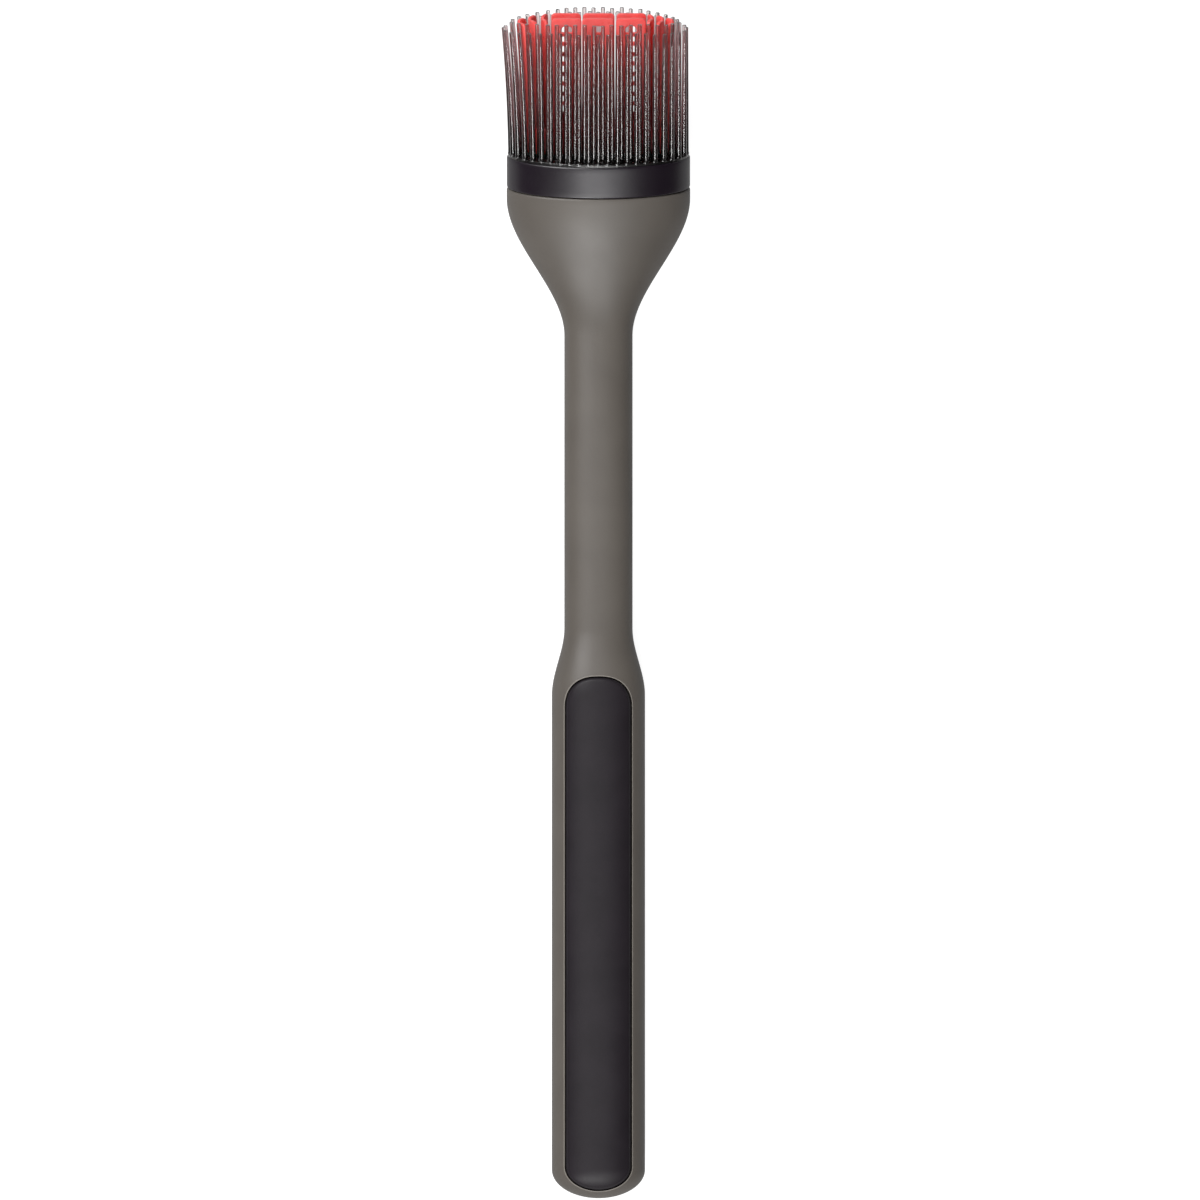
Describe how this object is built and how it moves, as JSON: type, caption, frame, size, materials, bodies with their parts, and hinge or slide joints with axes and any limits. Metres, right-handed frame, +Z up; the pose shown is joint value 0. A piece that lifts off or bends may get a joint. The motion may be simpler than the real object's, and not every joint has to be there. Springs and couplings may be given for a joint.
{
  "type": "pastry brush",
  "caption": "Long pastry and basting brush: soft-grip plastic handle with a forward-leaning oval head of smoky silicone bristles round red silicone ladder paddles.",
  "frame": {"origin": "on the counter under the middle of the brush's bounding box, with the brush lying on its back", "axes": "+X across the brush, +Y along it from the butt of the handle to the bristle tips, +Z up out of its front face"},
  "size_m": [0.047, 0.3049, 0.0376],
  "materials": {
    "grey_plastic": "satin moulded plastic, warm grey",
    "black_grip": "matt soft-touch elastomer, black",
    "black_plastic": "satin moulded plastic, black",
    "smoke_silicone": "translucent smoky silicone, satin",
    "red_silicone": "red silicone, satin"
  },
  "bodies": {
    "root": {"handle_body": "grey_plastic", "front_grip_pad": "black_grip", "rear_grip_pad": "black_grip", "head_collar": "black_plastic", "outer_bristles": "smoke_silicone", "inner_bristles": "red_silicone", "retainer_plate": "black_plastic"}
  },
  "joints": []
}
